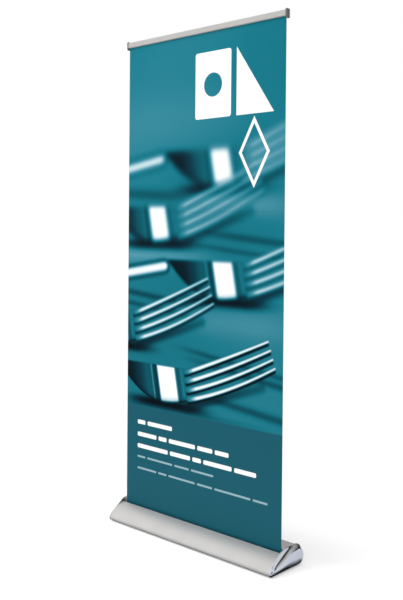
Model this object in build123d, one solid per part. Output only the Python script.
from build123d import *
import os
from math import atan2, cos, degrees, pi, radians, sin, sqrt

os.makedirs("parts", exist_ok=True)

# Roll-up banner stand: a printed film is drawn up out of a sprung roller in a floor
# cassette and held open by a telescopic pole behind it.
# Frame in mm: X across the banner, Y from the front (-) to the back (+), Z up from the floor.

# ---------------------------------------------------------------- driving dimensions
# printed film
graphic_width = 850.0
graphic_height = 2000.0       # film between the slot's throat and the top rail
film = 0.4                    # thickness
upper_share = 0.36            # share of the film that the rail carries rigidly
# cassette
base_depth = 212.0
deck_overhang = 12.0          # the cassette extrusion is longer than the film by this, each end
web_inset = 90.0              # front of the cassette to the film
nose_r = 13.0
nose_z = 17.0
lip_setback = 9.0             # film to the edge of the front deck
lip_z = 70.0
throat_drop = 6.0
slot_back = 5.0               # film to the rear housing's front wall
housing_z = 85.0
floor_z = 7.0                 # underside of the extrusion
level_back = 58.0             # back of the base to the end of the housing's level top
wall = 2.0
cap_z = 88.5                  # top of the end caps
cap_proud = 1.5               # caps stand this far outside the extrusion
cap_nose_t = 4.6              # cap thickness at the nose
cap_full_t = 13.0             # cap thickness at its crown
cap_skin = 2.2
plate_t = 2.0                 # steel floor plate
end_plate_t = 2.0
# levelling feet
foot_pad_t = 4.0
foot_pad_r = 14.0
foot_stud_r = 4.0
foot_inset = 57.0             # end of the extrusion to a foot
foot_stud_length = 22.0
port_r = 4.2                  # screw ports along the extrusion
port_gap = 3.7                # between a front foot's stud and the port in front of it
screw_r = 2.0
# roller
roller_r = 14.0
roller_wall = 1.5
roller_overhang = 1.0
wound_t = 0.8                 # film left on the roller when the banner is up
chamber_gap = 2.8             # chamber wall to the full roll of film
chamber_lift = 3.0            # chamber wall to the extrusion's floor
bracket_gap = 1.0             # roller plug's flange to the bracket
plug_flange_t = 1.5
pin_r = 4.0
spring_r = 8.0
spring_wire_r = 0.9
spring_pitch = 6.0
spring_turns = 14
# pole
pole_setback = 32.0           # film to the pole's axis
pole_r = 11.0                 # outer radius of the lowest tube
tube_wall = 1.2
tube_gap = 0.3                # between one tube and the next
tube_overlap = 90.0           # length of a tube left inside the one below
pole_foot_z = 14.0
collar_t = 4.5
collar_below = 30.0
collar_above = 12.0
collar_ribs = 12
# hook at the pole's top and its receiver on the rail
receiver_wall = 3.0
tongue_t = 4.0
tongue_half = 18.0
tongue_rise = 14.0
hook_plate_t = 8.0
# top rail
rail_overhang = 1.5
rail_height = 24.0
rail_half_depth = 9.0
rail_cap_t = 6.5
rail_cap_drop = 7.5
rail_cap_rise = 3.5
jaw_bead_r = 2.0
# fits
running = 0.05                # radial clearance of a turning or sliding fit
fit_gap = 0.1                 # clearance of fixed pieces that push together
free_gap = 0.5                # clearance of pieces that must not touch

# ---------------------------------------------------------------- places that follow
front_y = -base_depth / 2
rear_y = base_depth / 2
web_y = front_y + web_inset
deck_half = graphic_width / 2 + deck_overhang
rail_half = graphic_width / 2 + rail_overhang
roller_half = graphic_width / 2 + roller_overhang
nose_y = front_y + nose_r
cap_floor = nose_z - nose_r
roll_r = roller_r + wound_t
full_roll_r = sqrt(roller_r ** 2 + graphic_height * film / pi)
chamber_r = full_roll_r + chamber_gap
roller_z = floor_z + wall + chamber_r + chamber_lift
roller_y = web_y - film / 2 - fit_gap - roll_r
pole_y = web_y + pole_setback
tube_r = [pole_r - step * (tube_wall + tube_gap) for step in range(3)]
rail_z = lip_z - throat_drop + graphic_height
film_top = rail_z + 0.7 * rail_height
seam_z = rail_z - upper_share * graphic_height
slot_half = graphic_width / 2 + 2 * free_gap
hook_z = rail_z - 12.0
tube_length = (hook_z - 2.0 - pole_foot_z + 2 * tube_overlap) / 3
socket_r = tube_r[0] + 4.0
rib_y = pole_y + 30.0
foot_x = deck_half - foot_inset
insert_r = foot_stud_r + 2.5
foot_y = (roller_y - chamber_r - wall - insert_r - 3.5, rib_y + insert_r + 7.5)
front_port_y = foot_y[0] - foot_stud_r - port_r - port_gap
bracket_x0 = roller_half + plug_flange_t + bracket_gap
spring_length = spring_pitch * spring_turns
spring_x0 = -roller_half + 26.0
rod_end = spring_x0 + spring_length + 22.0
bead_z = rail_z + rail_height - 3.0


def section(sketch):
    """A sketch drawn in (y, z), stood up across the banner."""
    return Plane.YZ * sketch


def bar(sketch, x0, x1):
    """A (y, z) section carried from x0 to x1."""
    return Pos(x0, 0, 0) * extrude(section(sketch), amount=x1 - x0)


def rod(r, x0, x1, y, z):
    """A round bar along X."""
    return bar(Pos(y, z) * Circle(r), x0, x1)


def post(r, z0, z1, x=0.0, y=0.0):
    """A round bar along Z."""
    return Pos(x, y, z0) * extrude(Circle(r), amount=z1 - z0)


def block(x0, x1, y0, y1, z0, z1):
    return Pos((x0 + x1) / 2, (y0 + y1) / 2, (z0 + z1) / 2) * Box(x1 - x0, y1 - y0, z1 - z0)


def mirrored(part):
    return mirror(part, about=Plane.YZ)


def write(name, *solids):
    """One node. Separate solids of one node are written as a group."""
    shape = solids[0] if len(solids) == 1 else Compound(children=[Compound(s.wrapped) for s in solids])
    export_step(shape, f"parts/{name}.step")


# ---------------------------------------------------------------- cassette outlines
def nose_arc(inset):
    return CenterArc((nose_y, nose_z), nose_r - inset, 270, -120)


def cap_outline(inset=0.0):
    """The end caps' outline: round nose, a slope that rises over the deck, a level crown and
    a rounded back."""
    nose = nose_arc(inset)
    crown = (web_y + 14, cap_z - inset)
    level_end = (rear_y - level_back, cap_z - inset)
    back = (rear_y - inset, 0.38 * cap_z)
    under = (rear_y - 31, cap_floor + inset)
    slope = Spline(
        nose @ 1,
        (web_y - 46 + 0.7 * inset, 0.675 * cap_z - 0.7 * inset),
        (web_y - 14 + 0.5 * inset, 0.93 * cap_z - inset),
        crown,
        tangents=(nose % 1, (1, 0)),
    )
    top = Spline(
        level_end,
        (rear_y - 10 - 0.8 * inset, 0.65 * cap_z - 0.6 * inset),
        back,
        tangents=((1, 0), (0, -1)),
    )
    heel = Spline(back, under, tangents=((0, -1), (-1, 0)))
    return make_face([nose, slope, Line(crown, level_end), top, heel, Line(under, nose @ 0)])


def extrusion_outline(inset=0.0):
    """The cassette's outline: deck in front of the slot, taller housing behind it."""
    nose = CenterArc((nose_y, nose_z), nose_r - cap_proud - inset, 240, -90)
    lip = (web_y - lip_setback - inset, lip_z - inset)
    deck = Bezier(nose @ 1, (web_y - 60 + 0.5 * inset, lip_z - 8 - 0.8 * inset), lip)
    step_z = lip_z - 12 - inset
    corner = (web_y + slot_back + inset, housing_z - 3 - inset)
    shoulder = (corner[0] + 5, housing_z - inset)
    level_end = (rear_y - level_back, housing_z - inset)
    back = (rear_y - cap_proud - 1 - inset, 0.40 * housing_z)
    under = (rear_y - 34 - 0.4 * inset, floor_z + inset)
    heel_front = (nose_y + 4, floor_z + inset)
    edges = [
        nose,
        deck,
        Line(lip, (lip[0], step_z)),
        Line((lip[0], step_z), (corner[0], step_z)),
        Line((corner[0], step_z), corner),
        Spline(corner, shoulder, tangents=((0, 1), (1, 0))),
        Line(shoulder, level_end),
        Spline(
            level_end,
            (rear_y - 13 - 0.8 * inset, 0.65 * housing_z - 0.6 * inset),
            back,
            tangents=((1, 0), (0, -1)),
        ),
        Spline(back, under, tangents=((0, -1), (-1, 0))),
        Line(under, heel_front),
        Line(heel_front, nose @ 0),
    ]
    return make_face(edges)


def port_places():
    """Screw ports that run the extrusion's whole length, for the end plates."""
    return [
        (front_port_y, floor_z + 9),
        (web_y - 51, 0.62 * lip_z),
        (web_y + slot_back + 8, floor_z + 10),
        (rear_y - 36, housing_z - 14),
        (rib_y - 5, floor_z + 9),
    ]


def make_extrusion():
    outline = extrusion_outline()
    hollow = extrusion_outline(wall)
    chamber = Pos(roller_y, roller_z) * Circle(chamber_r)
    chamber_wall = Pos(roller_y, roller_z) * Circle(chamber_r + wall)
    well_front = web_y + slot_back
    pole_wall = Pos(well_front + wall / 2, housing_z / 2) * Rectangle(wall, housing_z)
    rib = Pos(rib_y, housing_z / 2) * Rectangle(wall, housing_z)
    ports = [Pos(y, z) * Circle(port_r) for y, z in port_places()]
    webs = [
        Pos(front_port_y, floor_z + 5) * Rectangle(3, 8),
        Pos(web_y - 51, 0.62 * lip_z + 8) * Rectangle(3, 14),
        Pos(web_y + slot_back + 4, floor_z + 10) * Rectangle(8, 3),
        Pos(rear_y - 36, housing_z - 8) * Rectangle(3, 12),
        Pos(rib_y - 5, floor_z + 5) * Rectangle(3, 8),
    ]
    profile = outline - hollow
    for piece in [chamber_wall, pole_wall, rib] + ports + webs:
        profile += piece & outline
    profile -= chamber
    slot_y0 = web_y - lip_setback + wall
    slot_y1 = web_y + slot_back
    slot_floor = roller_z
    profile -= Pos((slot_y0 + slot_y1) / 2, (slot_floor + lip_z) / 2) * Rectangle(
        slot_y1 - slot_y0, lip_z - slot_floor
    )
    for y, z in port_places():
        profile -= Pos(y, z) * Circle(screw_r)
    body = bar(profile, -deck_half, deck_half)
    body -= post(socket_r + fit_gap, floor_z - 1, housing_z + 1, 0, pole_y)
    for x in (-foot_x, foot_x):
        for y in foot_y:
            body -= post(insert_r + fit_gap, floor_z - 1, floor_z + wall + 6, x, y)
    return body


# ---------------------------------------------------------------- cassette pieces
def cap_ridge_outline(inset=0.0):
    """The cap's raised outer face: a straight crease from the nose, then round to the back."""
    tip = (nose_y - 0.6 * nose_r + 2 * inset, nose_z - 1 - 0.2 * inset)
    crest = (web_y + 34, 0.74 * cap_z - inset)
    back = (rear_y - 13 - inset, 0.40 * cap_z)
    under = (rear_y - 40 - 0.5 * inset, cap_floor + 5 + inset)
    heel = (nose_y + 2 * inset, cap_floor + 3 + 0.6 * inset)
    top = (rear_y - 30 - 0.6 * inset, 0.66 * cap_z - 0.8 * inset)
    return make_face([
        Line(tip, crest),
        Spline(crest, top, back, tangents=((1, 0.25), (0, -1))),
        Spline(back, under, tangents=((0, -1), (-1, 0))),
        Line(under, heel),
        Line(heel, tip),
    ])


def inside_slope(thickness):
    """Everything on the cassette's side of the cap's face, which slopes out from the nose."""
    lean = degrees(atan2(cap_full_t - cap_nose_t, 0.62 * base_depth))
    size = 2 * base_depth
    solid = block(-size / 4, 0, -size / 4, size, -size / 4, size)
    return Pos(deck_half + thickness, front_y, 0) * Rot(0, 0, -lean) * solid


def make_cap():
    """Right-hand cap: a rim on the outline, a bevelled crown on the rim, hollow behind."""
    rim_t = cap_nose_t - 1
    rim = bar(cap_outline(), deck_half, deck_half + rim_t)
    lower = Pos(deck_half + rim_t, 0, 0) * section(cap_outline(0.4))
    upper = Pos(deck_half + cap_full_t, 0, 0) * section(cap_ridge_outline())
    crown = loft([lower.face(), upper.face()], ruled=True)
    cap = rim + (crown & inside_slope(cap_nose_t))
    pocket = bar(cap_outline(cap_skin), deck_half, deck_half + end_plate_t + free_gap)
    well = bar(cap_ridge_outline(8), deck_half, deck_half + cap_full_t - 2 * cap_skin)
    return cap - pocket - (well & inside_slope(cap_nose_t - cap_skin))


def make_end_plate():
    """Right-hand steel plate over the extrusion's end, with holes for its screws and pin."""
    plate = bar(cap_outline(cap_skin + 2.5), deck_half, deck_half + end_plate_t)
    for y, z in plate_ports():
        plate -= rod(screw_r + 0.2, deck_half - 1, deck_half + end_plate_t + 1, y, z)
    return plate - rod(pin_r + fit_gap, deck_half - 1, deck_half + end_plate_t + 1, roller_y, roller_z)


def plate_ports():
    """The screw ports that lie well behind the nose, where the cap has room for a head."""
    return port_places()[1:]


def make_plate_screws():
    screws = []
    plate_face = deck_half + end_plate_t
    for y, z in plate_ports():
        shank = rod(screw_r - fit_gap, deck_half - 12, plate_face, y, z)
        head = rod(3.4, plate_face, plate_face + free_gap - fit_gap, y, z)
        screws += [shank + head]
    return screws + [mirrored(s) for s in screws]


def make_floor_plate():
    """Black steel plate under the extrusion: it adds weight low down and carries the feet."""
    half = deck_half - free_gap
    y0, y1 = nose_y - 4, rear_y - 32
    plate = block(-half, half, y0, y1, floor_z - plate_t, floor_z)
    for x in (-foot_x, foot_x):
        for y in foot_y:
            plate -= post(insert_r + fit_gap, 0, floor_z + 1, x, y)
    for x, y in socket_screw_places():
        plate -= post(screw_r + 0.2, 0, floor_z + 1, x, y)
    return plate


def make_inserts():
    """Threaded inserts that hold the four levelling feet."""
    top = floor_z + wall + 5
    inserts = []
    for x in (-foot_x, foot_x):
        for y in foot_y:
            ring = post(insert_r, floor_z - plate_t, top, x, y)
            inserts.append(ring - post(foot_stud_r + running, 0, top + 1, x, y))
    return inserts


def make_foot(x, y):
    """A levelling foot: steel stud and the rubber pad moulded on its lower end."""
    stud = post(foot_stud_r, foot_pad_t / 2, foot_stud_length, x, y)
    stud += post(foot_stud_r + 3, foot_pad_t / 2, foot_pad_t - 1, x, y)
    pad = post(foot_pad_r, 0, foot_pad_t - 0.3, x, y)
    rim = pad.edges().group_by(Axis.Z)[-1]
    pad = chamfer(rim, 1.2)
    return stud, pad - stud


def make_socket():
    """Plastic socket that stands on the floor plate and holds the pole upright."""
    top = housing_z + 3.0
    socket = post(socket_r, floor_z, top, 0, pole_y)
    socket += post(socket_r + 5, housing_z + fit_gap, top, 0, pole_y)
    socket = chamfer(socket.edges().group_by(Axis.Z)[-1], 1.0)
    socket -= post(tube_r[0] + fit_gap, pole_foot_z - 3, top + 1, 0, pole_y)
    for x, y in socket_screw_places():
        socket -= post(1.6, floor_z - 1, pole_foot_z - 5, x, y)
    return socket


def socket_screw_places():
    reach = socket_r - 4.5
    return [(x, pole_y) for x in (-reach, reach)]


def make_socket_screws():
    screws = []
    for x, y in socket_screw_places():
        head = post(3.2, floor_z - plate_t - 1.0, floor_z - plate_t, x, y)
        screws.append(head + post(1.6 - fit_gap / 2, floor_z - plate_t, pole_foot_z - 5.5, x, y))
    return screws


def make_slot_strip():
    """Soft strip along the slot's front edge, so the film isn't scratched on its way out."""
    y0 = web_y - lip_setback + wall
    strip = block(-slot_half, slot_half, y0 + fit_gap, y0 + 2.2, lip_z - 10, lip_z - 1.5)
    return chamfer(strip.edges().filter_by(Axis.X).group_by(Axis.Y)[-1], 0.8)


# ---------------------------------------------------------------- roller pieces
def make_bracket():
    """Right-hand moulding that plugs the chamber's end and carries the roller's pin."""
    disc = rod(chamber_r - fit_gap, bracket_x0, deck_half, roller_y, roller_z)
    return disc - rod(pin_r + fit_gap / 2, bracket_x0 - 1, deck_half + 1, roller_y, roller_z)


def make_roller_tube():
    tube = rod(roller_r, -roller_half, roller_half, roller_y, roller_z)
    tube -= rod(roller_r - roller_wall, -roller_half - 1, roller_half + 1, roller_y, roller_z)
    groove_y = roller_y - roller_r
    groove = block(-roller_half - 1, roller_half + 1, groove_y - 1, groove_y + 0.7, roller_z - 1.5, roller_z + 1.5)
    return tube - groove


def make_roller_plug():
    """Right-hand plug in the roller's end, which turns on the pin."""
    plug = rod(roller_r - roller_wall - fit_gap / 2, roller_half - 18, roller_half, roller_y, roller_z)
    plug += rod(roller_r, roller_half, roller_half + plug_flange_t, roller_y, roller_z)
    return plug - rod(pin_r + running, roller_half - 20, roller_half + 3, roller_y, roller_z)


def make_wound_film():
    """Last turns of the film, which stay on the roller when the banner is up."""
    half = graphic_width / 2
    outer = rod(roll_r, -half, half, roller_y, roller_z)
    return outer - rod(roller_r + 0.02, -half - 1, half + 1, roller_y, roller_z)


def make_spring():
    """Torsion spring round the rod: it winds up as the film is pulled out."""
    path = Helix(pitch=spring_pitch, height=spring_length, radius=spring_r)
    start = Plane(origin=path @ 0, z_dir=path % 0)
    coil = sweep(start * Circle(spring_wire_r), path=path, is_frenet=True)
    return Pos(spring_x0, roller_y, roller_z) * Rot(0, 90, 0) * coil


def make_spring_rod():
    steel = rod(pin_r, -deck_half - end_plate_t, rod_end, roller_y, roller_z)
    collar = rod(pin_r + 2.5, spring_x0 - 1.7 - 3, spring_x0 - 1.7, roller_y, roller_z)
    return steel + collar


def make_idle_pin():
    return rod(pin_r, roller_half - 15, deck_half + end_plate_t, roller_y, roller_z)


def make_spring_anchor():
    """Plug fixed in the roller, which the spring's moving end pulls on."""
    x0 = spring_x0 + spring_length + 2.0
    plug = rod(roller_r - roller_wall - fit_gap / 2, x0, x0 + 16, roller_y, roller_z)
    return plug - rod(pin_r + running, x0 - 1, x0 + 17, roller_y, roller_z)


# ---------------------------------------------------------------- pole pieces
def tube_base(step):
    """Height of a tube's lower end with the pole fully out."""
    return pole_foot_z + step * (tube_length - tube_overlap)


def make_tube(step):
    z0 = tube_base(step)
    tube = post(tube_r[step], z0, z0 + tube_length, 0, pole_y)
    return tube - post(tube_r[step] - tube_wall, z0 - 1, z0 + tube_length + 1, 0, pole_y)


def make_guide_bush(step):
    """Nylon bush on a tube's lower end, which slides in the tube below."""
    z0 = tube_base(step)
    sliding_r = tube_r[step - 1] - tube_wall - running
    bush = post(sliding_r, z0 - 12, z0 - 0.2, 0, pole_y)
    bush += post(tube_r[step] - tube_wall - fit_gap / 2, z0 - 1, z0 + 12, 0, pole_y)
    return bush - post(tube_r[step] - tube_wall - 2.2, z0 - 13, z0 + 13, 0, pole_y)


def make_collar(step):
    """Twist collar on a tube's upper end, which grips the next tube up."""
    top = tube_base(step) + tube_length
    outer = tube_r[step] + collar_t
    collar = post(outer, top - collar_below, top + collar_above, 0, pole_y)
    ends = collar.edges().filter_by(GeomType.CIRCLE).group_by(Axis.Z)
    collar = chamfer(ends[0] + ends[-1], 1.0)
    for k in range(collar_ribs):
        turn = radians(360 * k / collar_ribs)
        x, y = outer * cos(turn), pole_y + outer * sin(turn)
        collar -= post(1.1, top - collar_below + 4, top + collar_above - 4, x, y)
    collar -= post(tube_r[step] + running, top - collar_below - 1, top + 0.3, 0, pole_y)
    return collar - post(tube_r[step + 1] + running, top, top + collar_above + 1, 0, pole_y)


def make_foot_plug():
    """Plug in the lowest tube's foot."""
    plug = post(tube_r[0] - tube_wall - fit_gap / 2, pole_foot_z, pole_foot_z + 14, 0, pole_y)
    return plug + post(tube_r[0], pole_foot_z - 2.5, pole_foot_z, 0, pole_y)


def hook_seat():
    """Where the hook's tongue stands: behind the rail, in its receiver."""
    y0 = web_y + rail_half_depth + receiver_wall + free_gap
    return y0, y0 + tongue_t


def make_hook():
    """Fitting on the top tube: an arm forward and a tongue up into the rail's receiver."""
    top = tube_base(2) + tube_length
    r = tube_r[2]
    head = post(r + 3.5, top - 24, hook_z + hook_plate_t, 0, pole_y)
    head -= post(r + fit_gap / 2, top - 25, top, 0, pole_y)
    y0, y1 = hook_seat()
    arm = block(-9, 9, y0, pole_y, hook_z, hook_z + hook_plate_t)
    shelf = block(-tongue_half, tongue_half, y0, y1 + 4, hook_z, hook_z + hook_plate_t)
    tongue = block(-tongue_half, tongue_half, y0, y1, hook_z + hook_plate_t, hook_z + hook_plate_t + tongue_rise)
    hook = head + arm + shelf + tongue
    return chamfer(hook.edges().group_by(Axis.Z)[-1], 0.8)


# ---------------------------------------------------------------- top rail pieces
def make_rail_back():
    """Fixed half of the snap rail: hollow, with the hinge bead along its top."""
    half = film / 2 + 0.8
    outline = make_face([
        Polyline(
            (web_y + half, rail_z),
            (web_y + rail_half_depth - 1.5, rail_z),
            (web_y + rail_half_depth, rail_z + 2),
            (web_y + rail_half_depth, rail_z + rail_height - 4),
            (web_y + rail_half_depth - 3, rail_z + rail_height),
            (web_y + 3.2, rail_z + rail_height),
            (web_y + 3.2, rail_z + rail_height - 6.5),
            (web_y + half, rail_z + rail_height - 6.5),
            (web_y + half, rail_z),
        )
    ])
    hollow = offset(outline, amount=-1.3)
    neck = Pos(web_y + 2.2, bead_z - 1.1) * Rectangle(3.4, 1.6)
    bead = Pos(web_y, bead_z) * Circle(jaw_bead_r)
    return bar(outline - hollow + neck + bead, -rail_half, rail_half)


def make_rail_front():
    """Hinged half of the snap rail: it turns on the bead and closes down over the film."""
    half = film / 2 + 0.8
    outline = make_face([
        Polyline(
            (web_y - half, rail_z),
            (web_y - rail_half_depth + 1.5, rail_z),
            (web_y - rail_half_depth, rail_z + 2),
            (web_y - rail_half_depth, rail_z + rail_height - 3),
            (web_y - rail_half_depth + 3, rail_z + rail_height),
            (web_y, rail_z + rail_height),
            (web_y, bead_z),
            (web_y - half, bead_z - 4),
            (web_y - half, rail_z),
        )
    ])
    shell = outline - offset(outline, amount=-1.3)
    knuckle = Pos(web_y, bead_z) * Circle(jaw_bead_r + running + 0.95)
    opening = Pos(web_y + 3, bead_z - 0.8) * Rectangle(6, 7.0)
    shell = shell + (knuckle - opening)
    shell -= Pos(web_y, bead_z) * Circle(jaw_bead_r + running)
    half_length = rail_half - free_gap
    return bar(shell, -half_length, half_length)


def make_grip(side):
    """Rubber strip bonded in a jaw, which holds the film's edge. side is 1 behind, -1 in front."""
    y_film = web_y + side * (film / 2 + 0.06)
    y_jaw = web_y + side * (film / 2 + 0.8)
    return block(
        -rail_half + 2, rail_half - 2, min(y_film, y_jaw), max(y_film, y_jaw), rail_z + 2, rail_z + 10
    )


def make_rail_cap():
    """Right-hand end cap of the rail, with two pegs that push into the back half."""
    z0, z1 = rail_z - rail_cap_drop, rail_z + rail_height + rail_cap_rise
    depth = rail_half_depth + 1.0
    plate = block(rail_half, rail_half + rail_cap_t, web_y - depth, web_y + depth, z0, z1)
    plate = fillet(plate.edges().filter_by(Axis.X), 3.0)
    plate = fillet(plate.faces().sort_by(Axis.X)[-1].edges(), 1.5)
    peg_y = web_y + (rail_half_depth + film / 2 + 0.8) / 2
    for z in (rail_z + 5, rail_z + 12):
        plate += rod(2.0, rail_half - 14, rail_half, peg_y, z)
    return plate


def make_receiver():
    """Clip on the rail's back that the pole's hook pushes up into."""
    y0 = web_y + rail_half_depth
    seat0, seat1 = hook_seat()
    half = tongue_half + receiver_wall + free_gap
    z0, z1 = rail_z + 1, rail_z + rail_height - 5
    body = block(-half, half, y0, seat1 + free_gap + receiver_wall, z0, z1)
    body = fillet(body.edges().filter_by(Axis.Z).group_by(Axis.Y)[-1], 2.0)
    pocket_top = hook_z + hook_plate_t + tongue_rise + free_gap
    pocket = block(
        -tongue_half - free_gap, tongue_half + free_gap, seat0 - free_gap, seat1 + free_gap, z0 - 1, pocket_top
    )
    return body - pocket


# ---------------------------------------------------------------- film
def make_film(z0, z1):
    half = graphic_width / 2
    return block(-half, half, web_y - film / 2, web_y + film / 2, z0, z1)


# ---------------------------------------------------------------- write the nodes
write("base_extrusion", make_extrusion())
for name, maker in (
    ("end_cap", make_cap),
    ("end_plate", make_end_plate),
    ("roller_bracket", make_bracket),
    ("rail_cap", make_rail_cap),
    ("roller_plug", make_roller_plug),
):
    right = maker()
    write(f"{name}_right", right)
    write(f"{name}_left", mirrored(right))
write("end_plate_screws", *make_plate_screws())
write("floor_plate", make_floor_plate())
write("foot_inserts", *make_inserts())
for side, x in (("left", -foot_x), ("right", foot_x)):
    for end, y in zip(("front", "rear"), foot_y):
        stud, pad = make_foot(x, y)
        write(f"foot_stud_{end}_{side}", stud)
        write(f"foot_pad_{end}_{side}", pad)
write("pole_socket", make_socket())
write("socket_screws", *make_socket_screws())
write("slot_strip", make_slot_strip())
write("roller_tube", make_roller_tube())
write("wound_film", make_wound_film())
write("torsion_spring", make_spring())
write("spring_rod", make_spring_rod())
write("spring_anchor", make_spring_anchor())
write("idle_pin", make_idle_pin())
for step, name in enumerate(("lower", "middle", "upper")):
    write(f"pole_tube_{name}", make_tube(step))
    if step:
        write(f"guide_bush_{name}", make_guide_bush(step))
for step, name in enumerate(("lower", "upper")):
    write(f"twist_collar_{name}", make_collar(step))
write("pole_foot_plug", make_foot_plug())
write("pole_hook", make_hook())
write("rail_back", make_rail_back())
write("rail_front", make_rail_front())
write("grip_strip_back", make_grip(1))
write("grip_strip_front", make_grip(-1))
write("hook_receiver", make_receiver())
write("film_lower", make_film(roller_z, seam_z))
write("film_upper", make_film(seam_z, film_top))
